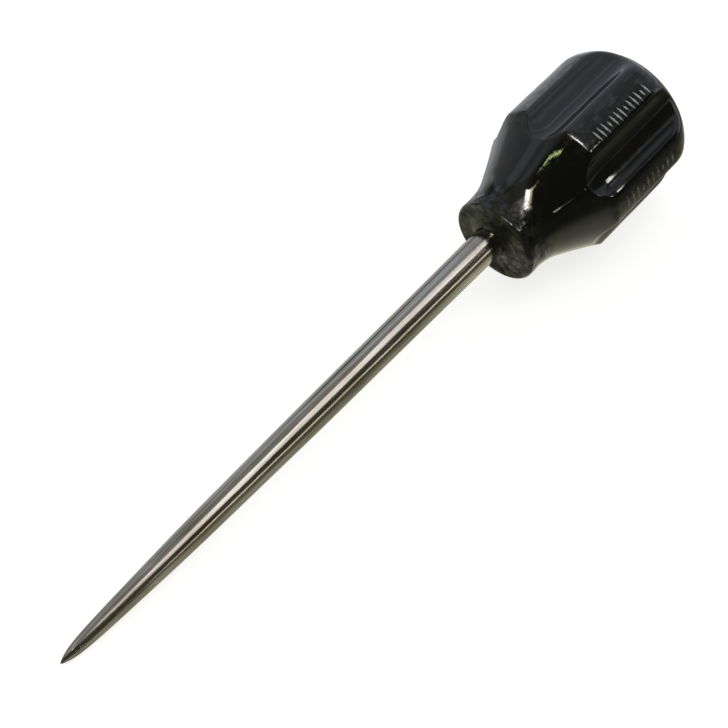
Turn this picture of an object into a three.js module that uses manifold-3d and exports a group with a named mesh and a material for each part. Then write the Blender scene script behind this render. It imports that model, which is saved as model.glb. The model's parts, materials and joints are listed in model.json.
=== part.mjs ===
// Scratch awl: a tapered round steel blade whose tang is pressed into a short, fluted plastic handle.
// Millimetres. Both pieces are drawn along +Y, the handle's axis, with the point at y = 0 and the butt
// furthest along +Y. Angles around that axis are measured from +Z towards +X. At the end the awl is laid
// down as it rests on a bench: on its point and on the front corners of two neighbouring lands, with one
// flute facing straight down and another straight up.

import * as THREE from 'three';
import { mergeVertices } from 'three/addons/utils/BufferGeometryUtils.js';
import Module from 'manifold-3d';

const wasm = await Module();
wasm.setup();

// ---- Driving dimensions ----

// Blade: a quarter-inch bar, 4 1/4 inches of it bare, ground to a long taper.
const bareLength = 107.95;
const shankRadius = 3.175;
const bladeTaper = [ // distance from the point, radius
  [0, 0.18],
  [1.5, 0.76],
  [3.4, 1.18],
  [7.8, 1.54],
  [16, 1.88],
  [27.4, 2.29],
  [43.9, 2.55],
  [58.5, 2.78],
  [90, 3.0],
];

// Tang: the bar inside the handle, with two swaged wings that stop it turning.
const tangLength = 30;
const tangChamfer = 0.8;
const wingStart = 12;
const wingLength = 11;
const wingLead = 2;
const wingRise = 1.2;
const wingThickness = 1.4;

// Handle: fluted bar with a rounded butt and a turned nose. Lengths are from its front face.
const gripRadius = 15.6;
const handleLength = 45.5;
const buttCornerRadius = 8;
const buttDomeRadius = 35;
const buttFlatRadius = 3;
const faceRadius = 8.2;
const neckRadius = 9.05;
const neckLength = 3;
const flareFilletRadius = 13.3;
const flareStartAngle = THREE.MathUtils.degToRad(24.3);
const flareRadius = 120;

// Flutes: each is the track of a round cutter that runs out through the butt, and fades out at its front end.
const fluteCount = 6;
const cutterRadius = 6.3;
const cutterCentreRadius = 19.5;
const fluteStart = 19.6;
const fluteFade = 12;

// Runout: the nose is turned a little off the bar's axis, and the tang is bored a little off it the other
// way, along the same line, which passes through a flute.
const runoutAngle = THREE.MathUtils.degToRad(120);
const noseRunout = 0.4;
const tangRunout = -0.4;

// Clearance that keeps the tang and its bore two separate solids.
const fitGap = 0.3;

const roundSegments = 96;
const shankSegments = 48;
const cutterSegments = 48;

// ---- Geometry helpers ----

// Points [radius, y] along an arc about (centreRadius, centreY). Angles run from the +radius direction
// towards +y.
function arc(centreRadius, centreY, radius, startAngle, endAngle, steps) {
  const points = [];
  for (let i = 0; i <= steps; i += 1) {
    const angle = startAngle + (endAngle - startAngle) * i / steps;
    points.push([centreRadius + radius * Math.cos(angle), centreY + radius * Math.sin(angle)]);
  }
  return points;
}

// Solid of revolution about +Y from an outline that starts and ends on the axis.
function turned(outline, segments) {
  const points = outline.map(([radius, y]) => new THREE.Vector2(radius, y));
  return toSolid(new THREE.LatheGeometry(points, segments));
}

// Closed geometry to a solid: shared corners are merged and the slivers that a lathe leaves at its poles
// are dropped.
function toSolid(geometry) {
  geometry.deleteAttribute('normal');
  geometry.deleteAttribute('uv');
  const merged = mergeVertices(geometry);
  const corners = merged.index.array;
  const triangles = [];
  for (let i = 0; i < corners.length; i += 3) {
    const [a, b, c] = corners.slice(i, i + 3);
    if (a !== b && b !== c && c !== a) {
      triangles.push(a, b, c);
    }
  }
  return new wasm.Manifold(new wasm.Mesh({
    numProp: 3,
    vertProperties: new Float32Array(merged.attributes.position.array),
    triVerts: new Uint32Array(triangles),
  }));
}

function toGeometry(solid) {
  const mesh = solid.getMesh();
  const geometry = new THREE.BufferGeometry();
  geometry.setAttribute('position', new THREE.BufferAttribute(mesh.vertProperties, 3));
  geometry.setIndex(new THREE.BufferAttribute(mesh.triVerts, 1));
  geometry.computeVertexNormals();
  return geometry;
}

// Offset in the cross-section plane, along a direction given by its angle around the axis.
function across(distance, angle) {
  return [distance * Math.sin(angle), 0, distance * Math.cos(angle)];
}

// ---- Blade ----

// Plate through the tang whose two outer edges are the swaged wings. The grown plate is the pocket that
// the wings press into the handle.
function wingPlate(grow) {
  const coreRadius = shankRadius / 2;
  const outerRadius = shankRadius + wingRise + grow;
  const front = wingStart - grow;
  const back = wingStart + wingLength + grow;
  const outline = new THREE.Shape([
    new THREE.Vector2(coreRadius, front),
    new THREE.Vector2(outerRadius, front + wingLead),
    new THREE.Vector2(outerRadius, back - wingLead),
    new THREE.Vector2(coreRadius, back),
    new THREE.Vector2(-coreRadius, back),
    new THREE.Vector2(-outerRadius, back - wingLead),
    new THREE.Vector2(-outerRadius, front + wingLead),
    new THREE.Vector2(-coreRadius, front),
  ]);
  const thickness = wingThickness + 2 * grow;
  const plate = new THREE.ExtrudeGeometry(outline, { depth: thickness, bevelEnabled: false });
  plate.translate(0, bareLength, -thickness / 2);
  return toSolid(plate);
}

function makeBlade() {
  const tangEnd = bareLength + tangLength;
  const outline = [
    [0, 0],
    ...bladeTaper.map(([distance, radius]) => [radius, distance]),
    [shankRadius, bareLength],
    [shankRadius, tangEnd - tangChamfer],
    [shankRadius - tangChamfer, tangEnd],
    [0, tangEnd],
  ];
  const bar = turned(outline, shankSegments);
  return toGeometry(bar.add(wingPlate(0)));
}

// ---- Handle ----

// Plain round bar with the rounded butt: a corner arc that runs smoothly into a shallow dome, which has a
// small flat at its centre. It starts in front of the handle's face, so that the nose alone forms the face.
function gripBar() {
  const cornerRadius = gripRadius - buttCornerRadius;
  const domeCentre = bareLength + handleLength - Math.sqrt(buttDomeRadius ** 2 - buttFlatRadius ** 2);
  const centreGap = buttDomeRadius - buttCornerRadius;
  const cornerCentre = domeCentre + Math.sqrt(centreGap ** 2 - cornerRadius ** 2);
  const joinAngle = Math.atan2(cornerCentre - domeCentre, cornerRadius);
  const flatAngle = Math.acos(buttFlatRadius / buttDomeRadius);
  return turned([
    [0, bareLength - 1],
    [gripRadius, bareLength - 1],
    ...arc(cornerRadius, cornerCentre, buttCornerRadius, 0, joinAngle, 8),
    ...arc(0, domeCentre, buttDomeRadius, joinAngle, flatAngle, 3).slice(1),
    [0, bareLength + handleLength],
  ], roundSegments);
}

// Centre of the slightly hollow flare's arc, in the order that arc() takes: radius, then y. The flare runs on
// smoothly from the fillet behind the neck.
function flareCentre() {
  const centreGap = flareRadius - flareFilletRadius;
  return [
    neckRadius + flareFilletRadius + centreGap * Math.cos(flareStartAngle),
    bareLength + neckLength - centreGap * Math.sin(flareStartAngle),
  ];
}

// Angle around that centre, from the -radius direction, at which the flare reaches a radius.
function flareAngleAt(radius) {
  return Math.acos((flareCentre()[0] - radius) / flareRadius);
}

// Outside of the turned nose: rounded front edge, neck, fillet and flare. The flare goes on past the bar's
// radius, so the shoulder is where it leaves the bar.
function noseEnvelope() {
  const edgeRadius = neckRadius - faceRadius;
  const outsideRadius = gripRadius + 3;
  const fillet = arc(
    neckRadius + flareFilletRadius,
    bareLength + neckLength,
    flareFilletRadius,
    Math.PI,
    Math.PI - flareStartAngle,
    4,
  );
  const flareEndAngle = flareAngleAt(outsideRadius);
  const flare = arc(
    ...flareCentre(),
    flareRadius,
    Math.PI - flareStartAngle,
    Math.PI - flareEndAngle,
    4,
  );
  const envelope = turned([
    [0, bareLength],
    ...arc(faceRadius, bareLength + edgeRadius, edgeRadius, -Math.PI / 2, 0, 4),
    ...fillet,
    ...flare.slice(1),
    [outsideRadius, bareLength + handleLength + 1],
    [0, bareLength + handleLength + 1],
  ], roundSegments);
  return envelope.translate(across(noseRunout, runoutAngle));
}

// Track of one flute cutter, with its faded end as half of an ellipsoid.
function fluteCutter(angle) {
  const cutterEnd = bareLength + handleLength + 1;
  const fade = arc(0, 0, 1, -Math.PI / 2, 0, 10);
  const cutter = turned([
    ...fade.map(([radius, y]) => [cutterRadius * radius, bareLength + fluteStart + fluteFade * y]),
    [cutterRadius, cutterEnd],
    [0, cutterEnd],
  ], cutterSegments);
  return cutter.translate(across(cutterCentreRadius, angle));
}

// Blind bore for the tang, open at the front face, with the pocket for its wings.
function tangBore() {
  const boreRadius = shankRadius + fitGap;
  const boreEnd = bareLength + tangLength + fitGap;
  const bore = turned([
    [0, bareLength - 2],
    [boreRadius, bareLength - 2],
    [boreRadius, boreEnd],
    [0, boreEnd],
  ], shankSegments);
  return bore.add(wingPlate(fitGap)).translate(across(tangRunout, runoutAngle));
}

function makeHandle() {
  let solid = gripBar().intersect(noseEnvelope());
  for (let i = 0; i < fluteCount; i += 1) {
    solid = solid.subtract(fluteCutter(i * 2 * Math.PI / fluteCount));
  }
  return toGeometry(solid.subtract(tangBore()));
}

// ---- Assembly ----

const steel = new THREE.MeshStandardMaterial({ color: 0x8c8a84, roughness: 0.35, metalness: 1 });
const acetate = new THREE.MeshStandardMaterial({ color: 0x0b0c0a, roughness: 0.18, metalness: 0 });

const blade = new THREE.Mesh(makeBlade(), steel);
blade.name = 'blade';
blade.position.set(...across(tangRunout, runoutAngle));

const handle = new THREE.Mesh(makeHandle(), acetate);
handle.name = 'handle';

const awl = new THREE.Group();
awl.add(blade, handle);

// Lie down with the point towards -X, then tip the butt up until the two lowest shoulder corners are level
// with the lowest part of the blade, which is the end of its short point.
awl.rotation.z = -Math.PI / 2;
const cornerDepth = (gripRadius ** 2 + cutterCentreRadius ** 2 - cutterRadius ** 2)
  / (2 * cutterCentreRadius);
const shoulderDistance = flareCentre()[1] + flareRadius * Math.sin(flareAngleAt(gripRadius));
const bladeRise = tangRunout * Math.cos(runoutAngle);
const restTilt = Math.min(...bladeTaper.map(([distance, radius]) => Math.atan2(
  cornerDepth + bladeRise - radius,
  shoulderDistance - distance,
)));
const lying = new THREE.Group();
lying.rotation.y = -restTilt;
lying.add(awl);

// Origin: the middle of the footprint, on the surface that the awl lies on.
const scratchAwl = new THREE.Group();
scratchAwl.add(lying);
scratchAwl.updateMatrixWorld(true);
const extent = new THREE.Box3().setFromObject(scratchAwl, true);
const middle = extent.getCenter(new THREE.Vector3());
scratchAwl.position.set(-middle.x, -middle.y, -extent.min.z);

export default scratchAwl;
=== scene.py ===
"""Scratch awl: fine surfaces, materials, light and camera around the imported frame.

Shapes are worked out in millimetres in the handle's own frame: x runs along its axis from the front face to
the butt, and angles around the axis are measured from UP towards SIDE. Blender objects are in metres.
"""

import json
import math

import bpy
import numpy as np
from mathutils import Euler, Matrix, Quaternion, Vector


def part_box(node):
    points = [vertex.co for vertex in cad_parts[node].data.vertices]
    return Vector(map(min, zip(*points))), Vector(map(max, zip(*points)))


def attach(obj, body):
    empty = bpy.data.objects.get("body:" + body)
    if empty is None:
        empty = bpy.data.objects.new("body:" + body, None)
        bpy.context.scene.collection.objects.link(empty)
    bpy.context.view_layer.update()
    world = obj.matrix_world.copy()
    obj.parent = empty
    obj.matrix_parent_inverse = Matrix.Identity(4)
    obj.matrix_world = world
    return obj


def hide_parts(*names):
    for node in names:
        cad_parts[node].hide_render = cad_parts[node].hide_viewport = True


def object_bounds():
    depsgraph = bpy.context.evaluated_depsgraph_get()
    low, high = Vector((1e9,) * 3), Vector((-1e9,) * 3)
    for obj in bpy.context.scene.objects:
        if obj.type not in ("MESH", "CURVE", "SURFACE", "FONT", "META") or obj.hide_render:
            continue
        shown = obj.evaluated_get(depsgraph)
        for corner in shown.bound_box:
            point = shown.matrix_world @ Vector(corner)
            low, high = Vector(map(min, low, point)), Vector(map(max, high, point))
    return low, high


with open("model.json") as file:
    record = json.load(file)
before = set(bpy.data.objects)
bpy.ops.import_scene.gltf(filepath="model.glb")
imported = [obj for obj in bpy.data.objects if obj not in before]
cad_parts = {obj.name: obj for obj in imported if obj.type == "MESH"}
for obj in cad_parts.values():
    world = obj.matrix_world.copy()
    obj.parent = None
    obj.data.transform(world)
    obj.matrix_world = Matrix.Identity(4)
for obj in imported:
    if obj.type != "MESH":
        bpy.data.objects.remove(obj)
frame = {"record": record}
cad_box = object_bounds()

MM = 0.001
FULL_TURN = 2 * math.pi
NEARLY_ZERO = 1e-6

# ---- Placement, from the frame ----

mounts = {mount["name"]: mount for mount in frame["record"]["mounts"]}
BUTT = np.array(mounts["butt_face"]["pos_m"]) / MM
ALONG = np.array(mounts["butt_face"]["axis"])
UP = np.array([-ALONG[2], 0.0, ALONG[0]])
SIDE = np.cross(ALONG, UP)
HANDLE_LENGTH = float((BUTT - np.array(mounts["handle_face"]["pos_m"]) / MM) @ ALONG)
FACE_CENTRE = BUTT - HANDLE_LENGTH * ALONG
REST_TILT = math.atan2(ALONG[2], ALONG[0])
handle_low, handle_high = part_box("handle")
GRIP_RADIUS = (handle_high.y - handle_low.y) / 2 / MM

# ---- Driving dimensions, in millimetres ----

# Blade, from its point. The taper's stations are distances and radii.
BARE_LENGTH = 107.95
SHANK_RADIUS = 3.175
BLADE_TAPER = [
    (0, 0.18),
    (1.5, 0.76),
    (3.4, 1.18),
    (7.8, 1.54),
    (16, 1.88),
    (27.4, 2.29),
    (43.9, 2.55),
    (58.5, 2.78),
    (90, 3.0),
    (BARE_LENGTH, SHANK_RADIUS),
]

# Tang, from the handle's face.
TANG_LENGTH = 30
TANG_CHAMFER = 0.8
WING_START = 12
WING_LENGTH = 11
WING_LEAD = 2
WING_RISE = 1.2
WING_THICKNESS = 1.4

# Bore: it closes on the tang at its mouth.
BORE_GAP = 0.15
MOUTH_GAP = 0.012
MOUTH_DEPTH = 0.5

# Nose, from the handle's face.
FACE_RADIUS = 8.2
NECK_RADIUS = 9.05
NECK_LENGTH = 3
FLARE_FILLET = 13.3
FLARE_START = math.radians(24.3)
FLARE_RADIUS = 120
TURNED_EDGE = 0.16

# Grip and butt. The flutes reach their full depth at FLUTE_START and fade out in front of it.
BUTT_CORNER = 8
BUTT_DOME = 35
BUTT_FLAT_RADIUS = 3
FLUTE_COUNT = 6
CUTTER_RADIUS = 6.3
CUTTER_CENTRE = 19.5
FLUTE_START = 19.6
FLUTE_FADE = 12
LAND_EDGE = 0.9

# The nose is turned, and the tang bored, a little off the bar's axis along one line.
RUNOUT_ANGLE = math.radians(120)
NOSE_RUNOUT = 0.4
TANG_RUNOUT = -0.4
RUNOUT_END = 12  # behind this the skin's rays start on the bar's own axis

# The skin lies this far inside the nominal surface, which leaves room for the foil on the lands.
SKIN_DEPTH = 0.03


# ---- Helpers ----

def place(x, side, up):
    """Points of the handle's frame, in millimetres, as points of the row frame, in metres."""
    x, side, up = np.broadcast_arrays(x, side, up)
    return (FACE_CENTRE + x[..., None] * ALONG + side[..., None] * SIDE + up[..., None] * UP) * MM


def across(distance, angle):
    """(side, up) of a point at a distance and an angle from an axis."""
    return distance * np.sin(angle), distance * np.cos(angle)


RIPPLE_WAVES = 14
RIPPLE_SPREAD = (0.6, 1.5)  # lowest and highest frequency, as shares of the main one
RIPPLE_LEVEL = 1.4  # brings nearly all of the field within -1 to 1


def ripple(points, wavelength, seed):
    """Smooth random field from about -1 to 1: waves in random directions with one rough wavelength."""
    rng = np.random.default_rng(seed)
    directions = rng.normal(size=(RIPPLE_WAVES, 3))
    directions /= np.linalg.norm(directions, axis=1)[:, None]
    frequencies = FULL_TURN / wavelength * rng.uniform(*RIPPLE_SPREAD, RIPPLE_WAVES)
    phases = rng.uniform(0, FULL_TURN, RIPPLE_WAVES)
    total = np.zeros(points.shape[:-1])
    for direction, frequency, phase in zip(directions, frequencies, phases):
        total += np.sin(points @ direction * frequency + phase)
    return total / math.sqrt(RIPPLE_WAVES) / RIPPLE_LEVEL


def smooth_step(values, start, end):
    """0 before the start, 1 after the end and a smooth rise between them."""
    share = np.clip((values - start) / (end - start), 0, 1)
    return share * share * (3 - 2 * share)


def stretches(start, ends):
    """Stations after a start: each stretch has its end and a number of equal steps."""
    stations = []
    for end, steps in ends:
        stations.extend(np.linspace(start, end, steps + 1)[1:])
        start = end
    return stations


def closed_skin(name, first, rings, last, material):
    """Closed mesh from a pole, through rings of points, to another pole."""
    row_count, column_count = rings.shape[:2]
    points = np.vstack([first[None], rings.reshape(-1, 3), last[None]])
    index = 1 + np.arange(row_count * column_count).reshape(row_count, column_count)
    beside = np.roll(index, -1, axis=1)
    quads = np.stack([index[:-1], beside[:-1], beside[1:], index[1:]], axis=-1).reshape(-1, 4)
    end = len(points) - 1
    start_fan = [(0, b, a) for a, b in zip(index[0], beside[0])]
    end_fan = [(end, a, b) for a, b in zip(index[-1], beside[-1])]
    faces = quads.tolist() + start_fan + end_fan
    a, b, c, d = (points[quads[:, i]] for i in range(4))
    volume = np.einsum("ij,ij->i", a, np.cross(b, c) + np.cross(c, d)).sum()
    if volume < 0:
        faces = [face[::-1] for face in faces]
    return add_mesh(name, points, faces, material)


def add_mesh(name, points, faces, material):
    """Smooth-shaded piece from its points and faces."""
    mesh = bpy.data.meshes.new(name)
    mesh.from_pydata([tuple(point) for point in points], [], faces)
    mesh.materials.append(material)
    mesh.shade_smooth()
    piece = bpy.data.objects.new(name, mesh)
    bpy.context.scene.collection.objects.link(piece)
    return piece


def paint(piece, name, values):
    """Number for each point of a piece, for its material to read."""
    layer = piece.data.attributes.new(name, "FLOAT", "POINT")
    layer.data.foreach_set("value", np.asarray(values, dtype=np.float32).ravel())


# ---- Shape of the handle ----

# The rays that look for the skin start inside the handle and search between these lengths.
RAY_SHORTEST = 4.0
RAY_LONGEST = 24.0
RAY_HALVINGS = 24


def rounded_cut(first, second, radius):
    """Field of the overlap of two solids, whose shared edge is rounded."""
    corner = np.hypot(np.maximum(first + radius, 0), np.maximum(second + radius, 0))
    return np.minimum(-radius, np.maximum(first, second)) + corner


def bar_field(x, radial):
    """Distance outside the round bar with its rounded butt."""
    corner_radial = GRIP_RADIUS - BUTT_CORNER
    dome_x = HANDLE_LENGTH - math.sqrt(BUTT_DOME ** 2 - BUTT_FLAT_RADIUS ** 2)
    corner_x = dome_x + math.sqrt((BUTT_DOME - BUTT_CORNER) ** 2 - corner_radial ** 2)
    join_angle = math.atan2(corner_x - dome_x, corner_radial)
    angle = np.arctan2(x - corner_x, radial - corner_radial)
    corner = np.hypot(x - corner_x, radial - corner_radial) - BUTT_CORNER
    dome = np.maximum(np.hypot(x - dome_x, radial) - BUTT_DOME, x - HANDLE_LENGTH)
    return np.select([x < corner_x, angle < join_angle], [radial - GRIP_RADIUS, corner], dome)


def nose_field(x, side, up):
    """Distance outside the turned nose: face, rounded rim, neck, fillet and slightly hollow flare."""
    centre_side, centre_up = across(NOSE_RUNOUT, RUNOUT_ANGLE)
    radial = np.hypot(side - centre_side, up - centre_up)
    rim = NECK_RADIUS - FACE_RADIUS
    out, ahead = radial - FACE_RADIUS, rim - x
    front = np.minimum(np.maximum(out, ahead), 0) + np.hypot(np.maximum(out, 0), np.maximum(ahead, 0)) - rim
    fillet_radial = NECK_RADIUS + FLARE_FILLET
    fillet = FLARE_FILLET - np.hypot(radial - fillet_radial, x - NECK_LENGTH)
    turn = np.arctan2(x - NECK_LENGTH, fillet_radial - radial)
    flare_x = NECK_LENGTH - (FLARE_RADIUS - FLARE_FILLET) * math.sin(FLARE_START)
    flare_radial = fillet_radial + (FLARE_RADIUS - FLARE_FILLET) * math.cos(FLARE_START)
    flare = FLARE_RADIUS - np.hypot(radial - flare_radial, x - flare_x)
    return np.select([x < NECK_LENGTH, turn < FLARE_START], [front, fillet], flare)


def flute_field(x, side, up):
    """Distance outside the nearest flute cutter's track, negative in the flute."""
    pitch = FULL_TURN / FLUTE_COUNT
    turn = np.mod(np.arctan2(side, up) + pitch / 2, pitch) - pitch / 2
    folded_side, folded_up = across(np.hypot(side, up), turn)
    ahead = np.minimum(x - FLUTE_START, 0) * CUTTER_RADIUS / FLUTE_FADE
    return np.hypot(ahead, np.hypot(folded_side, folded_up - CUTTER_CENTRE)) - CUTTER_RADIUS


def handle_field(x, side, up):
    """Fluted bar with rounded land edges, on which the nose is turned last and leaves crisp edges."""
    fluted = rounded_cut(bar_field(x, np.hypot(side, up)), -flute_field(x, side, up), LAND_EDGE)
    return rounded_cut(fluted, nose_field(x, side, up), TURNED_EDGE)


def reach(x, side, up, angle, slope):
    """Distance from inner points to the handle's skin, along rays that lean by slope towards the butt."""
    ray_side, ray_up = across(np.cos(slope), angle)
    ray_x = np.sin(slope)
    near = np.full(np.broadcast(x, side, angle, slope).shape, RAY_SHORTEST)
    far = np.full(near.shape, RAY_LONGEST)
    for _ in range(RAY_HALVINGS):
        middle = (near + far) / 2
        outside = handle_field(x + middle * ray_x, side + middle * ray_side, up + middle * ray_up) > 0
        far = np.where(outside, middle, far)
        near = np.where(outside, near, middle)
    return near - SKIN_DEPTH


def tang_radius(x, angle, grow):
    """Radius of the tang and its two swaged wings, x behind the face."""
    core = SHANK_RADIUS / 2
    wing_end = WING_START + WING_LENGTH
    lead = np.minimum(x - WING_START + grow, wing_end + grow - x) / WING_LEAD
    outer = core + (SHANK_RADIUS + WING_RISE + grow - core) * np.clip(lead, 0, 1)
    tip = outer / np.maximum(np.abs(np.sin(angle)), NEARLY_ZERO)
    flank = (WING_THICKNESS / 2 + grow) / np.maximum(np.abs(np.cos(angle)), NEARLY_ZERO)
    return np.maximum(SHANK_RADIUS + grow, np.minimum(tip, flank))


# ---- Handle ----

HANDLE_COLUMNS = 384
FAN_CENTRE = 29.9  # the rays that meet the butt start here, on the axis
FAN_STEPS = 84
SKIN_STRETCHES = [(4, 10), (12, 23), (21, 41), (FAN_CENTRE, 15)]  # end of each, steps in it
BORE_STEPS = 24
RIM_STEPS = 8
FACE_STEPS = 14
FACE_CROWDING = 1.6  # the face's rings crowd towards the bore

# The tang pushed up a ragged lip round the bore, and a torn web of plastic that runs out from it.
LIP_WIDTH = 1.2
LIP_HEIGHT = 0.42
LIP_LOWEST = 0.05
LIP_MIDDLE = 0.45
LIP_WAVES = [(3, 0.8, 0.3), (7, 2.1, 0.25)]  # waves around the bore, phase, share of the height
BURR_ANGLE = math.radians(-48)
BURR_HEIGHT = 1.5
BURR_SPREAD = 0.26
BURR_REACH = 0.8  # as a share of the way to the rim
DISH_DEPTH = 0.22
DISH_UNEVENNESS = 0.5
DISH_PHASE = 0.6

# Wear, from 0 to 1. Each pair is where a smooth step begins and ends.
LAND_WEAR = 0.45
CORNER_WEAR = 0.25
BUTT_WEAR = 0.5
LAND_STARTS = (math.radians(19), math.radians(23))  # off a flute's middle
SHOULDER = (16.5, 18)
NECK_WEAR_ENDS = (2.5, 8)
BUTT_CORNER_STARTS = (38, 42)

# Chalky dust on the front face, and a painted reflection that makes the face paler towards the torn web's
# side.
FACE_ENDS = (0.3, 0.6)
LEAST_DUST_AND_REFLECTION = 0.15  # share on the side away from the torn web, where the painted reflection is gone

# Hand-polished waviness: wavelength and depth.
COARSE_WAVES = (9.0, 0.03)
FINE_WAVES = (1.9, 0.001)
WORN_DEPTH = 0.07  # added to the fine waves where the plastic is fully worn
POLE_FADE = (2, 6)  # off the axis, where the waviness sets in on the butt

handle_angles = np.arange(HANDLE_COLUMNS) * FULL_TURN / HANDLE_COLUMNS


def bore_rings():
    """Wall of the blind bore from its bottom to its mouth, in the tang's own pocket."""
    depths = np.concatenate([
        np.linspace(TANG_LENGTH + BORE_GAP, MOUTH_DEPTH, BORE_STEPS),
        [MOUTH_DEPTH, 0],
    ])
    x, angle = np.meshgrid(depths, handle_angles, indexing="ij")
    radius = tang_radius(x, angle, BORE_GAP)
    radius[-2:] = SHANK_RADIUS + MOUTH_GAP
    return x, radius, TANG_RUNOUT


def face_rings():
    """Front face from the bore's mouth to the rim, with the lip of plastic that the tang pushed up."""
    share = np.linspace(0, 1, FACE_STEPS + 1)[1:, None] ** FACE_CROWDING
    inner, outer = SHANK_RADIUS + MOUTH_GAP, FACE_RADIUS
    radius = inner + (outer - inner) * share
    angle = handle_angles[None]
    ragged = LIP_MIDDLE + sum(size * np.sin(waves * angle + phase) for waves, phase, size in LIP_WAVES)
    bank = np.exp(-((radius - inner) / (LIP_WIDTH / 2)) ** 2)
    lip = LIP_HEIGHT * np.clip(ragged, LIP_LOWEST, 1) * bank
    uneven = 1 + DISH_UNEVENNESS * np.cos(2 * angle + DISH_PHASE)
    dish = DISH_DEPTH * np.sin(math.pi * share) * uneven
    off_burr = np.mod(angle - BURR_ANGLE + math.pi, FULL_TURN) - math.pi
    crest = BURR_HEIGHT * np.exp(-np.abs(off_burr / BURR_SPREAD))
    burr = crest * (1 - smooth_step(share, 0, BURR_REACH))
    x = SKIN_DEPTH + dish - np.maximum(lip, burr)
    runout = TANG_RUNOUT + (NOSE_RUNOUT - TANG_RUNOUT) * share
    return x, radius + 0 * angle, runout + 0 * angle


def rim_rings():
    """Rounded rim between the face and the neck."""
    turn = np.linspace(0, math.pi / 2, RIM_STEPS + 1)[1:, None] + 0 * handle_angles[None]
    rim = NECK_RADIUS - FACE_RADIUS
    radius = FACE_RADIUS - SKIN_DEPTH + rim * np.sin(turn)
    return SKIN_DEPTH + rim * (1 - np.cos(turn)), radius, NOSE_RUNOUT


def skin_rings():
    """Outside from the rim to the butt: radial rays first, then rays that fan out towards the butt."""
    rim = NECK_RADIUS - FACE_RADIUS
    stations = np.array(stretches(rim, SKIN_STRETCHES)[:-1])
    slopes = np.concatenate([0 * stations, np.linspace(0, math.pi / 2, FAN_STEPS + 1)[:-1]])
    starts = np.concatenate([stations, np.full(FAN_STEPS, FAN_CENTRE)])
    x, angle = np.meshgrid(starts, handle_angles, indexing="ij")
    slope = np.broadcast_to(slopes[:, None], x.shape)
    runout = NOSE_RUNOUT * (1 - smooth_step(x, rim, RUNOUT_END))
    side, up = across(runout, RUNOUT_ANGLE)
    length = reach(x, side, up, angle, slope)
    ray_side, ray_up = across(np.cos(slope), angle)
    return x + length * np.sin(slope), side + length * ray_side, up + length * ray_up


def about_offset_axis(x, radius, runout):
    """Ring points about an axis that is off the bar's axis by the runout."""
    side, up = across(radius, handle_angles[None])
    centre_side, centre_up = across(runout, RUNOUT_ANGLE)
    return x + 0 * side, side + centre_side, up + centre_up


def wear(points):
    """How worn the plastic is, from 0 to 1: most on the neck, about half on the lands, less on the butt."""
    x, side, up = np.moveaxis(points, -1, 0)
    pitch = FULL_TURN / FLUTE_COUNT
    off_flute = np.abs(np.mod(np.arctan2(side, up) + pitch / 2, pitch) - pitch / 2)
    on_land = LAND_WEAR * smooth_step(off_flute, *LAND_STARTS) * smooth_step(x, *SHOULDER)
    on_neck = 1 - smooth_step(x, *NECK_WEAR_ENDS)
    on_corner = CORNER_WEAR * smooth_step(x, *BUTT_CORNER_STARTS)
    return np.maximum.reduce([on_land, on_neck, on_corner])


def face_dust_and_reflection(points):
    """How pale the front face is painted: chalky dusting all over it, and a painted reflection that makes
    it palest on the side of the torn web; none off the face.
    """
    x, side, up = np.moveaxis(points, -1, 0)
    # painted reflection: the face is made paler towards the torn web's side
    toward_painted_reflection = 0.5 + 0.5 * np.cos(np.arctan2(side, up) - BURR_ANGLE)
    dust_and_reflection = LEAST_DUST_AND_REFLECTION + (1 - LEAST_DUST_AND_REFLECTION) * toward_painted_reflection ** 2
    return dust_and_reflection * (1 - smooth_step(x, *FACE_ENDS))


def hand_finish(points):
    """Inward waviness of the hand-polished plastic: strongest where it is worn."""
    x, side, up = np.moveaxis(points, -1, 0)
    radial = np.hypot(side, up)
    coarse_length, coarse_depth = COARSE_WAVES
    fine_length, fine_depth = FINE_WAVES
    coarse = 0.5 + 0.5 * ripple(points, coarse_length, seed=3)
    fine = 0.5 + 0.5 * ripple(points, fine_length, seed=5)
    depth = coarse_depth * coarse + fine * (fine_depth + WORN_DEPTH * wear(points) ** 3)
    off_pole = smooth_step(radial, *POLE_FADE)
    inward = np.stack([0 * x, side, up], axis=-1) / np.maximum(radial, NEARLY_ZERO)[..., None]
    return points - inward * (depth * off_pole)[..., None]


def make_handle(material):
    """The handle's skin with its bore, and the wear, and the dusting with its painted reflection, that its
    material reads.
    """
    outside = np.stack(skin_rings(), axis=-1)
    inside = np.concatenate([
        np.stack(about_offset_axis(*bore_rings()), axis=-1),
        np.stack(about_offset_axis(*face_rings()), axis=-1),
        np.stack(about_offset_axis(*rim_rings()), axis=-1),
    ])
    rings = np.concatenate([inside, hand_finish(outside)])
    tang_side, tang_up = across(TANG_RUNOUT, RUNOUT_ANGLE)
    bottom = place(TANG_LENGTH + BORE_GAP, tang_side, tang_up)
    butt = place(HANDLE_LENGTH - SKIN_DEPTH, 0, 0)
    places = place(rings[..., 0], rings[..., 1], rings[..., 2])
    piece = closed_skin("fluted_handle", bottom, places, butt, material)
    paint(piece, "wear", [0, *wear(rings).ravel(), BUTT_WEAR])
    paint(piece, "dust_and_reflection", [0, *face_dust_and_reflection(rings).ravel(), 0])
    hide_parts("handle")
    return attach(piece, "root")


# ---- Blade ----

BLADE_COLUMNS = 96
POINT_ROUNDING = 0.08
POINT_STATIONS = 0.04 * 1.35 ** np.arange(10)
TAPER_SMOOTHING = 6
TAPER_SHARE = 0.35  # near the point the smoothing is this share of the distance from it
TAPER_SAMPLES = 9

# Unevenness left by grinding: wavelength across, its stretch along the blade, depth.
GRINDING_WAVELENGTH = 3.2
GRINDING_STRETCH = 9
GRINDING_DEPTH = 0.012
GRINDING_START = 12

blade_angles = np.arange(BLADE_COLUMNS) * FULL_TURN / BLADE_COLUMNS


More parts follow.
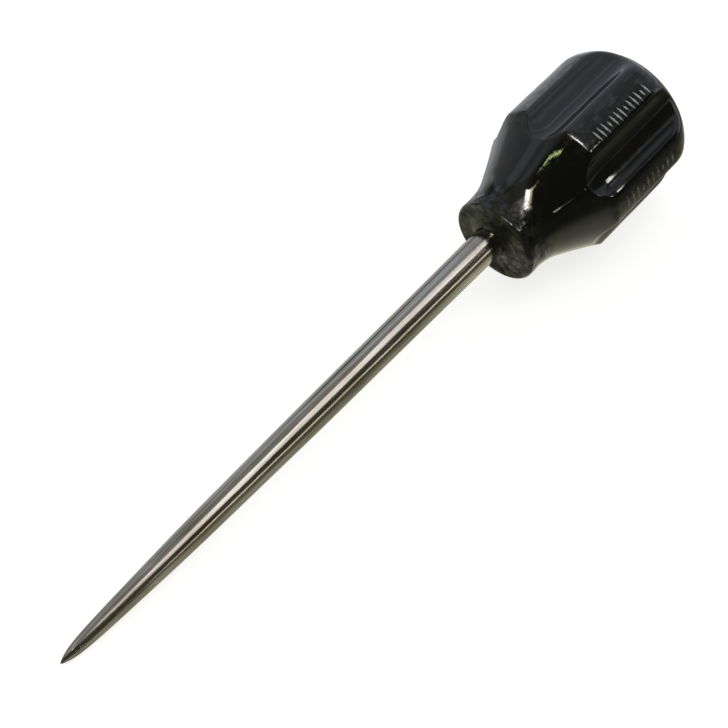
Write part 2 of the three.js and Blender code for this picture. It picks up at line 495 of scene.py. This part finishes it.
def taper_radius(distance):
    """Radius at a distance from the point: the ground taper, with its stations blended into one curve."""
    stations, radii = zip(*BLADE_TAPER)
    spread = np.minimum(TAPER_SHARE * distance, TAPER_SMOOTHING)
    steps = np.linspace(-1, 1, TAPER_SAMPLES)
    blended = np.mean([np.interp(distance + step * spread, stations, radii) for step in steps], axis=0)
    return blended * (1 - np.exp(-distance / POINT_ROUNDING))


def make_blade(material):
    """The blade with its tang, as one skin from the point to the tang's end."""
    body = [
        (10, 29),
        (BARE_LENGTH, 149),
        (BARE_LENGTH + WING_START - 1, 11),
        (BARE_LENGTH + WING_START + WING_LENGTH + 1, 27),
        (BARE_LENGTH + TANG_LENGTH - TANG_CHAMFER, 5),
        (BARE_LENGTH + TANG_LENGTH, 1),
    ]
    stations = [*POINT_STATIONS, 1, *stretches(1, body)]
    distance, angle = np.meshgrid(stations, blade_angles, indexing="ij")
    x = distance - BARE_LENGTH
    bare = taper_radius(distance)
    radius = np.where(x > 0, tang_radius(x, angle, 0), bare)
    radius[-1] -= TANG_CHAMFER
    side, up = across(radius, angle)
    grinding = np.stack([distance / GRINDING_STRETCH, side, up], axis=-1)
    waves = 0.5 + 0.5 * ripple(grinding, GRINDING_WAVELENGTH, seed=11)
    uneven = waves * smooth_step(distance, 0, GRINDING_START)
    side, up = across(radius - GRINDING_DEPTH * uneven * (x < 0), angle)
    tang_side, tang_up = across(TANG_RUNOUT, RUNOUT_ANGLE)
    point = place(-BARE_LENGTH, tang_side, tang_up)
    tang_end = place(TANG_LENGTH, tang_side, tang_up)
    rings = place(x, side + tang_side, up + tang_up)
    piece = closed_skin("ground_blade", point, rings, tang_end, material)
    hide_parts("blade")
    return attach(piece, "root")


# ---- Foil stamped on two lands: a plain border of slender lozenges, with no lettering ----

FOIL_HEIGHT = 2.7
FOIL_WIDTH = 0.46
FOIL_PITCH = 1.22
FOIL_LEAN = 0.12
FOIL_TAPER = 1.4  # the lozenge's sides follow this power of the way to its ends
FOIL_TIP = 0.04  # width left at the ends, as a share
SHORT_EVERY = 4
SHORT_SHARE = 0.55
FOIL_PROUD = 0.012
FOIL_DEPTH = 0.05
FOIL_ROWS = 12
FOIL_COLUMNS = 4


def lozenge(x_centre, angle_centre, height, width):
    """Top and bottom grids of one thin foil lozenge that follows the land."""
    rise = np.linspace(-1, 1, FOIL_ROWS + 1)[:, None]
    spread = np.linspace(-1, 1, FOIL_COLUMNS + 1)[None]
    half = width / 2 * (1 + FOIL_TIP - np.abs(rise) ** FOIL_TAPER)
    x = x_centre + half * spread + FOIL_LEAN * height / 2 * rise
    angle = angle_centre + rise * height / 2 / GRIP_RADIUS + 0 * spread
    radius = reach(x, 0, 0, angle, 0 * x)
    layers = []
    for offset in (FOIL_PROUD, -FOIL_DEPTH):
        side, up = across(radius + offset, angle)
        layers.append(place(x, side, up).reshape(-1, 3))
    return np.vstack(layers)


def lozenge_faces():
    """Faces of the two grids and of the edge between them."""
    columns = FOIL_COLUMNS + 1
    count = (FOIL_ROWS + 1) * columns
    top = np.arange(count).reshape(-1, columns)
    faces = []
    for row in range(FOIL_ROWS):
        for column in range(FOIL_COLUMNS):
            corners = (
                top[row, column], top[row + 1, column],
                top[row + 1, column + 1], top[row, column + 1],
            )
            faces.append(corners)
            faces.append(tuple(corner + count for corner in reversed(corners)))
    edge = [*top[0], *top[1:, -1], *top[-1, -2::-1], *top[-2:0:-1, 0]]
    for a, b in zip(edge, edge[1:] + edge[:1]):
        faces.append((a, b, b + count, a + count))
    return np.array(faces)


def stamp(name, x_start, count, angle, size, material):
    """A row of lozenges along a land, as one piece."""
    patches = []
    for i in range(count):
        last_of_group = i % SHORT_EVERY == SHORT_EVERY - 1
        height = FOIL_HEIGHT * size * (SHORT_SHARE if last_of_group else 1)
        patches.append(lozenge(x_start + i * FOIL_PITCH * size, angle, height, FOIL_WIDTH * size))
    one = lozenge_faces()
    faces = np.vstack([one + i * len(patches[0]) for i in range(count)])
    piece = add_mesh(name, np.vstack(patches), faces.tolist(), material)
    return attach(piece, "root")


# ---- Materials ----

WORN_COLOUR = (0.008, 0.0085, 0.0065, 1)
WORN_ROUGHNESS = 0.20
# pale colour of the face's dust, which also paints a reflection on the face's side towards the torn web
DUST_AND_REFLECTION_COLOUR = (0.10, 0.105, 0.072, 1)
DUST_ROUGHNESS = 0.45
BARED_COLOUR = (0.02, 0.02, 0.018, 1)  # plastic under the rubbed foil

# Depth of the materials' bumps, in millimetres.
PIT_DEPTH = 0.06
POLISHING_DEPTH = 0.004
TURNING_DEPTH = 0.006
GRINDING_MARK_DEPTH = 0.006
DENT_DEPTH = 0.006


def new_material(name):
    material = bpy.data.materials.new(name)
    material.use_nodes = True
    tree = material.node_tree
    return material, tree, tree.nodes["Principled BSDF"]


def add_node(tree, kind, inputs=None, **settings):
    """Node with its settings and inputs; an input that is a socket is linked."""
    node = tree.nodes.new(kind)
    for key, value in settings.items():
        setattr(node, key, value)
    for key, value in (inputs or {}).items():
        if isinstance(value, bpy.types.NodeSocket):
            tree.links.new(value, node.inputs[key])
        else:
            node.inputs[key].default_value = value
    return node


def attribute(tree, name):
    return add_node(tree, "ShaderNodeAttribute", attribute_name=name).outputs["Fac"]


def product(tree, first, second):
    return add_node(tree, "ShaderNodeMath", {0: first, 1: second}, operation="MULTIPLY").outputs["Value"]


def grey(level):
    return (level, level, level, 1)


def handle_millimetres(tree, stretch=(1, 1, 1)):
    """Millimetres along and across the handle's axis, each scaled by stretch."""
    place_node = add_node(tree, "ShaderNodeTexCoord")
    turned = add_node(
        tree, "ShaderNodeMapping",
        {"Vector": place_node.outputs["Object"], "Rotation": (0, REST_TILT, 0), "Scale": (1 / MM,) * 3},
    )
    stretched = add_node(
        tree, "ShaderNodeVectorMath", {0: turned.outputs["Vector"], 1: stretch}, operation="MULTIPLY",
    )
    return stretched.outputs["Vector"]


def noise(tree, vector, scale, detail=3.0, roughness=0.5):
    """Noise whose scale is in waves for each unit of its vector."""
    node = add_node(
        tree, "ShaderNodeTexNoise",
        {"Vector": vector, "Scale": scale, "Detail": detail, "Roughness": roughness},
    )
    return node.outputs["Fac"]


def ramp(tree, factor, *stops):
    """Colour ramp: each stop is (position, colour) with a grey level or an RGB triple."""
    node = add_node(tree, "ShaderNodeValToRGB", {"Fac": factor})
    elements = node.color_ramp.elements
    while len(elements) < len(stops):
        elements.new(0.5)
    for element, (position, colour) in zip(elements, stops):
        rgb = colour if isinstance(colour, tuple) else (colour,) * 3
        element.position = position
        element.color = (*rgb, 1)
    return node.outputs["Color"]


def mix(tree, factor, first, second, blend="MIX"):
    node = add_node(
        tree, "ShaderNodeMix", {"Factor": factor, 6: first, 7: second}, data_type="RGBA", blend_type=blend,
    )
    return node.outputs[2]


def bump(tree, height, depth, normal=None):
    """Bump of a depth in millimetres, on top of an earlier one."""
    inputs = {"Height": height, "Distance": depth * MM, "Strength": 1.0}
    if normal is not None:
        inputs["Normal"] = normal
    return add_node(tree, "ShaderNodeBump", inputs).outputs["Normal"]


def turning_marks(tree):
    """Fine rings left on the handle's face by the lathe, as a height."""
    parts = add_node(tree, "ShaderNodeSeparateXYZ", {0: handle_millimetres(tree)})
    squares = [product(tree, parts.outputs[axis], parts.outputs[axis]) for axis in ("Y", "Z")]
    total = add_node(tree, "ShaderNodeMath", {0: squares[0], 1: squares[1]}, operation="ADD")
    return add_node(tree, "ShaderNodeMath", {0: total.outputs["Value"]}, operation="SINE").outputs["Value"]


def acetate_material():
    """Black cellulose acetate: deep gloss, cloudy depths, worn patches, and a dusty turned face with a
    painted reflection on one side.
    """
    material, tree, shader = new_material("black_acetate")
    plain = handle_millimetres(tree)
    lengthwise = handle_millimetres(tree, (0.06, 1, 1))
    wear_map, face_map = attribute(tree, "wear"), attribute(tree, "dust_and_reflection")

    patches = ramp(tree, noise(tree, plain, 0.62, 6, 0.65), (0.45, 0), (0.52, 1))
    worn = product(tree, patches, wear_map)
    chalk = ramp(tree, noise(tree, plain, 0.16, 5, 0.65), (0.42, 0.25), (0.60, 1))
    # dusting and painted reflection on the front face
    dust_and_reflection = product(tree, chalk, face_map)
    cloud = ramp(
        tree, noise(tree, plain, 0.16, 4),
        (0.35, (0.0006, 0.0009, 0.0008)), (0.58, (0.0012, 0.0013, 0.0010)), (0.75, (0.006, 0.0035, 0.0018)),
    )
    streak = ramp(tree, noise(tree, lengthwise, 0.9, 4), (0.4, (0.7, 0.8, 0.9)), (0.7, (1.5, 1.4, 1.2)))
    colour = mix(tree, 1.0, cloud, streak, "MULTIPLY")
    colour = mix(tree, worn, colour, WORN_COLOUR)
    colour = mix(tree, dust_and_reflection, colour, DUST_AND_REFLECTION_COLOUR)
    tree.links.new(colour, shader.inputs["Base Color"])

    handled = ramp(tree, noise(tree, plain, 0.9, 5, 0.6), (0.45, 0.035), (0.75, 0.12))
    rough = mix(tree, worn, handled, grey(WORN_ROUGHNESS))
    rough = mix(tree, dust_and_reflection, rough, grey(DUST_ROUGHNESS))
    tree.links.new(rough, shader.inputs["Roughness"])
    shine = ramp(tree, worn, (0, 0.5), (0.45, 0.22), (1.0, 0.10))
    tree.links.new(shine, shader.inputs["Specular IOR Level"])
    shader.inputs["IOR"].default_value = 1.48

    pits = product(tree, noise(tree, plain, 0.9, 4, 0.6), wear_map)
    normal = bump(tree, pits, PIT_DEPTH)
    normal = bump(tree, noise(tree, lengthwise, 2.4, 3), POLISHING_DEPTH, normal)
    normal = bump(tree, product(tree, turning_marks(tree), face_map), TURNING_DEPTH, normal)
    tree.links.new(normal, shader.inputs["Normal"])
    return material


def steel_material():
    """Bright steel, ground and polished lengthwise, with patches of dull tarnish."""
    material, tree, shader = new_material("ground_steel")
    plain = handle_millimetres(tree)
    lengthwise = handle_millimetres(tree, (0.02, 1, 1))
    grain = noise(tree, lengthwise, 7.0, 4, 0.65)
    tint = ramp(tree, grain, (0.3, (0.34, 0.33, 0.31)), (0.7, (0.42, 0.41, 0.39)))
    tarnish = ramp(tree, noise(tree, plain, 0.12, 4), (0.4, 1.0), (0.75, (0.78, 0.74, 0.66)))
    streaks = ramp(tree, noise(tree, lengthwise, 2.2, 3), (0.38, (0.80, 0.78, 0.76)), (0.62, 1.06))
    tint = mix(tree, 1.0, tint, streaks, "MULTIPLY")
    tree.links.new(mix(tree, 1.0, tint, tarnish, "MULTIPLY"), shader.inputs["Base Color"])
    shader.inputs["Metallic"].default_value = 1.0
    tree.links.new(ramp(tree, grain, (0.3, 0.09), (0.75, 0.20)), shader.inputs["Roughness"])
    normal = bump(tree, grain, GRINDING_MARK_DEPTH)
    normal = bump(tree, noise(tree, plain, 0.5, 2), DENT_DEPTH, normal)
    tree.links.new(normal, shader.inputs["Normal"])
    return material


def foil_material(name, brightness, rubbed):
    """Silver foil, rubbed through in specks to the black plastic below."""
    material, tree, shader = new_material(name)
    plain = handle_millimetres(tree)
    worn = ramp(tree, noise(tree, plain, 2.6, 4, 0.7), (rubbed, 0.0), (rubbed + 0.08, 1.0))
    foil = (0.92 * brightness, brightness, brightness, 1)
    tree.links.new(mix(tree, worn, foil, BARED_COLOUR), shader.inputs["Base Color"])
    tree.links.new(ramp(tree, worn, (0, 0.42), (1, 0.2)), shader.inputs["Roughness"])
    shader.inputs["Metallic"].default_value = 0.2
    return material


def seen_or_lit(tree, seen, lit):
    """Surface or world output: one shader for what the camera sees, another for the light it gives off."""
    path = add_node(tree, "ShaderNodeLightPath")
    chosen = add_node(
        tree, "ShaderNodeMixShader", {0: path.outputs["Is Camera Ray"], 1: lit, 2: seen},
    )
    return chosen.outputs["Shader"]


def floor_material():
    """Pale card to the camera. To every other ray the floor glows with painted light and shade, in bands
    across it and in pools of light, which the awl reflects like a lit table.
    """
    material, tree, shader = new_material("pale_card")
    place_node = add_node(tree, "ShaderNodeTexCoord")
    tooth = noise(tree, place_node.outputs["Object"], CARD_TOOTH)
    tree.links.new(ramp(tree, tooth, (0.3, 0.50), (0.7, 0.54)), shader.inputs["Base Color"])
    shader.inputs["Roughness"].default_value = 0.9
    shader.inputs["Emission Color"].default_value = (1, 1, 0.98, 1)
    shader.inputs["Emission Strength"].default_value = FLOOR_GLOW
    parts = add_node(tree, "ShaderNodeSeparateXYZ", {0: place_node.outputs["Object"]})
    # painted light and shade, in bands across the floor
    across_painted_bench = add_node(
        tree, "ShaderNodeMath", {0: parts.outputs["Y"], 1: 1 / PAINTED_BENCH_WIDTH, 2: 0.5},
        operation="MULTIPLY_ADD",
    )
    painted_bench_light_and_shade = ramp(tree, across_painted_bench.outputs["Value"], *PAINTED_BENCH_LIGHT_AND_SHADE)
    # painted pools of light, added to the floor's glow
    for centre, radius, light in PAINTED_LIGHT_POOLS:
        away = add_node(
            tree, "ShaderNodeVectorMath", {0: place_node.outputs["Object"], 1: centre},
            operation="DISTANCE",
        )
        painted_light_pool = ramp(tree, product(tree, away.outputs["Value"], 1 / radius), (0.35, light), (1.0, 0.0))
        painted_bench_light_and_shade = mix(tree, 1.0, painted_bench_light_and_shade, painted_light_pool, "ADD")
    glow = add_node(tree, "ShaderNodeEmission", {"Color": painted_bench_light_and_shade})
    surface = seen_or_lit(tree, shader.outputs["BSDF"], glow.outputs["Emission"])
    tree.links.new(surface, tree.nodes["Material Output"].inputs["Surface"])
    return material


# ---- Studio, in metres ----

FLOOR_HALF = 2.0
FLOOR_GLOW = 0.80
CARD_TOOTH = 900  # waves for each metre in the card's texture
# The floor's glow, which every ray but the camera's sees, is painted light and shade: bands across it and
# pools of light.
PAINTED_BENCH_WIDTH = 0.2
PAINTED_BENCH_LIGHT_AND_SHADE = [  # place across the floor as a share of the bands' width, colour of the painted light and shade that the floor glows with for the awl's reflections
    (0.20, (0.11, 0.12, 0.085)),
    (0.29, (0.17, 0.17, 0.13)),
    (0.40, (0.28, 0.27, 0.20)),
    (0.465, (0.52, 0.51, 0.40)),
    (0.58, (0.34, 0.34, 0.26)),
    (0.70, (0.50, 0.51, 0.50)),
    (0.82, (0.85, 0.87, 0.93)),
]
PAINTED_LIGHT_POOLS = [  # painted pools of light in the floor's glow: centre, radius, colour added there
    ((0.045, -0.016, 0), 0.03, (0.45, 0.45, 0.36)),
    ((0.50, -0.20, 0), 0.32, (0.85, 0.87, 0.85)),
]

ROOM = (0.085, 0.08, 0.06, 1)
PALE = (0.97, 0.97, 0.96, 1)
LIGHT_DISTANCE = 1.2
WATTS_PER_BRIGHTNESS = 4  # for each square metre of an area light

CAMERA_LENS = 67.33
CAMERA_SENSOR = 36
CAMERA_PLACE = (-0.10610, -0.13704, 0.18229)
CAMERA_TURN = [math.radians(turn) for turn in (43.998, 8.721, -45.513)]

# Soft patches of light on the room around the awl: azimuth, elevation, width and height in degrees,
# softness of the edges as a share, then brightness and colour.
PATCHES = {
    "east_sky": (13, 24, 94, 56, 0.08, 0.52, (0.90, 0.98, 1.18)),
    "high_east_sky": (15, 60, 62, 17, 0.25, 0.60, (0.90, 0.99, 1.16)),
    "north_sky": (100, 29, 44, 62, 0.08, 0.42, (0.94, 1.00, 1.08)),
    "high_north_sky": (130, 58, 40, 20, 0.2, 0.34, (0.92, 1.00, 1.12)),
    "south_glow": (-69.5, 65, 28, 31, 0.12, 2.00, (1.03, 1.00, 0.98)),
    "ceiling": (20, 88, 44, 44, 0.2, 0.33, (1.0, 1.0, 0.96)),
    "low_east_glow": (-28, 3, 20, 20, 0.4, 0.75, (1.0, 1.0, 0.98)),
    "low_north_glow": (70, 3, 26, 20, 0.4, 0.65, (1.0, 1.0, 0.99)),
}

# Small lamps around the awl: azimuth, elevation, width and height in degrees, roll, then brightness and
# colour.
CARDS = {
    "low_strip": (-74, 8, 30, 8, 0, 1.5, (1.0, 0.96, 0.70)),
    "window": (-54.5, 35, 2.0, 10, -19, 15, (1.0, 1.0, 0.94)),
    "low_lamp": (-106, 10, 1.2, 2.5, 0, 10, (0.95, 1.0, 0.70)),
}

# Panels that face down from LIGHT_DISTANCE above the floor: place, and length and width, as shares of that
# height; turn in degrees, then brightness and colour.
PANELS = {
    "tube": ((-0.06, -0.39), (0.68, 0.16), -44, 25, (1.0, 0.99, 0.95)),
    "tube_reflector": ((-0.147, -0.477), (0.74, 0.08), -44, 8, (1.0, 0.88, 0.52)),
    "lamp": ((-0.49, -0.10), (0.20, 0.022), 67, 9, (0.80, 1.0, 0.42)),
}


def make_floor():
    half = FLOOR_HALF
    corners = [(-half, -half, 0), (half, -half, 0), (half, half, 0), (-half, half, 0)]
    add_mesh("floor", corners, [(0, 1, 2, 3)], floor_material())


def make_light(name, location, rotation, size, brightness, colour):
    """Rectangular light that the camera doesn't see, as bright as given whatever its size."""
    lamp = bpy.data.lights.new(name, "AREA")
    lamp.shape = "RECTANGLE"
    lamp.size, lamp.size_y = size
    lamp.energy = WATTS_PER_BRIGHTNESS * brightness * size[0] * size[1]
    lamp.color = colour
    light = bpy.data.objects.new(name, lamp)
    light.location = location
    light.rotation_euler = rotation
    light.visible_camera = False
    bpy.context.scene.collection.objects.link(light)


def direction(azimuth, elevation):
    """Unit vector from the awl towards an azimuth and an elevation in degrees."""
    turn, rise = math.radians(azimuth), math.radians(elevation)
    return Vector((math.cos(rise) * math.cos(turn), math.cos(rise) * math.sin(turn), math.sin(rise)))


def make_card(name, azimuth, elevation, width, height, roll, brightness, colour):
    """Lamp that faces the awl from LIGHT_DISTANCE away."""
    toward = direction(azimuth, elevation)
    location = (cad_box[0] + cad_box[1]) / 2 + LIGHT_DISTANCE * toward
    size = [2 * LIGHT_DISTANCE * math.tan(math.radians(angle / 2)) for angle in (width, height)]
    turn = toward.to_track_quat("Z", "Y") @ Quaternion((0, 0, 1), math.radians(roll))
    make_light(name, location, turn.to_euler(), size, brightness, colour)


def make_panel(name, place_shares, size_shares, turn, brightness, colour):
    """Lamp that faces straight down."""
    location = [LIGHT_DISTANCE * share for share in (*place_shares, 1)]
    size = [LIGHT_DISTANCE * share for share in size_shares]
    make_light(name, location, Euler((0, 0, math.radians(turn))), size, brightness, colour)


def make_camera():
    """67 mm lens, looking down at 45 degrees across the awl."""
    data = bpy.data.cameras.new("camera")
    data.lens = CAMERA_LENS
    data.sensor_width = CAMERA_SENSOR
    data.clip_start = 0.01
    camera = bpy.data.objects.new("camera", data)
    camera.location = CAMERA_PLACE
    camera.rotation_euler = CAMERA_TURN
    bpy.context.scene.collection.objects.link(camera)
    bpy.context.scene.camera = camera


def soft_patch(tree, azimuth, elevation, width, height, softness, brightness, colour):
    """Light of one soft-edged patch of the room, by the direction in which a ray leaves."""
    view = add_node(tree, "ShaderNodeTexCoord")
    turn = direction(azimuth, elevation).to_track_quat("Z", "Y").to_euler()
    half_size = [math.sin(math.radians(angle / 2)) for angle in (width, height)]
    local = add_node(
        tree, "ShaderNodeMapping",
        {"Vector": view.outputs["Generated"], "Rotation": turn, "Scale": (*half_size, 1)},
        vector_type="TEXTURE",
    )
    folded = add_node(tree, "ShaderNodeVectorMath", {0: local.outputs["Vector"]}, operation="ABSOLUTE")
    parts = add_node(tree, "ShaderNodeSeparateXYZ", {0: folded.outputs["Vector"]})
    from_centre = add_node(
        tree, "ShaderNodeMath", {0: parts.outputs["X"], 1: parts.outputs["Y"]}, operation="MAXIMUM",
    )
    inside = add_node(
        tree, "ShaderNodeMapRange",
        {"Value": from_centre.outputs["Value"], "From Min": 1 + softness, "From Max": 1 - softness},
        interpolation_type="SMOOTHSTEP",
    )
    depth = add_node(tree, "ShaderNodeSeparateXYZ", {0: local.outputs["Vector"]})
    ahead = add_node(tree, "ShaderNodeMath", {0: depth.outputs["Z"], 1: 0}, operation="GREATER_THAN")
    share = product(tree, inside.outputs["Result"], ahead.outputs["Value"])
    light = [brightness * channel for channel in colour]
    return mix(tree, share, (0, 0, 0, 1), (*light, 1))


def make_room():
    """Pale to the camera. What lights the awl is a dim room with soft patches of light."""
    world = bpy.data.worlds.new("dim_room")
    bpy.context.scene.world = world
    world.use_nodes = True
    tree = world.node_tree
    light = ROOM
    for patch in PATCHES.values():
        light = mix(tree, 1.0, light, soft_patch(tree, *patch), "ADD")
    room = tree.nodes["Background"]
    tree.links.new(light, room.inputs["Color"])
    pale = add_node(tree, "ShaderNodeBackground", {"Color": PALE})
    surface = seen_or_lit(tree, pale.outputs["Background"], room.outputs["Background"])
    tree.links.new(surface, tree.nodes["World Output"].inputs["Surface"])


def make_studio():
    bpy.context.scene.view_settings.view_transform = "Standard"
    make_room()
    for name, card in CARDS.items():
        make_card(name, *card)
    for name, panel in PANELS.items():
        make_panel(name, *panel)


def light_only(name, pieces):
    """Keep a lamp's light off every piece but these."""
    receivers = bpy.data.collections.new(f"lit_by_{name}")
    for piece in pieces:
        receivers.objects.link(piece)
    bpy.data.objects[name].light_linking.receiver_collection = receivers


make_camera()
make_studio()
make_floor()
plastic = make_handle(acetate_material())
steel = make_blade(steel_material())
light_only("tube", [plastic])
light_only("tube_reflector", [plastic])
light_only("low_strip", [steel])
stamp(
    "foil_border", x_start=22.5, count=13, angle=math.radians(36), size=1,
    material=foil_material("silver_foil", brightness=0.48, rubbed=0.54),
)
stamp(
    "foil_border_worn", x_start=21.5, count=10, angle=math.radians(91), size=1.25,
    material=foil_material("rubbed_foil", brightness=0.22, rubbed=0.47),
)
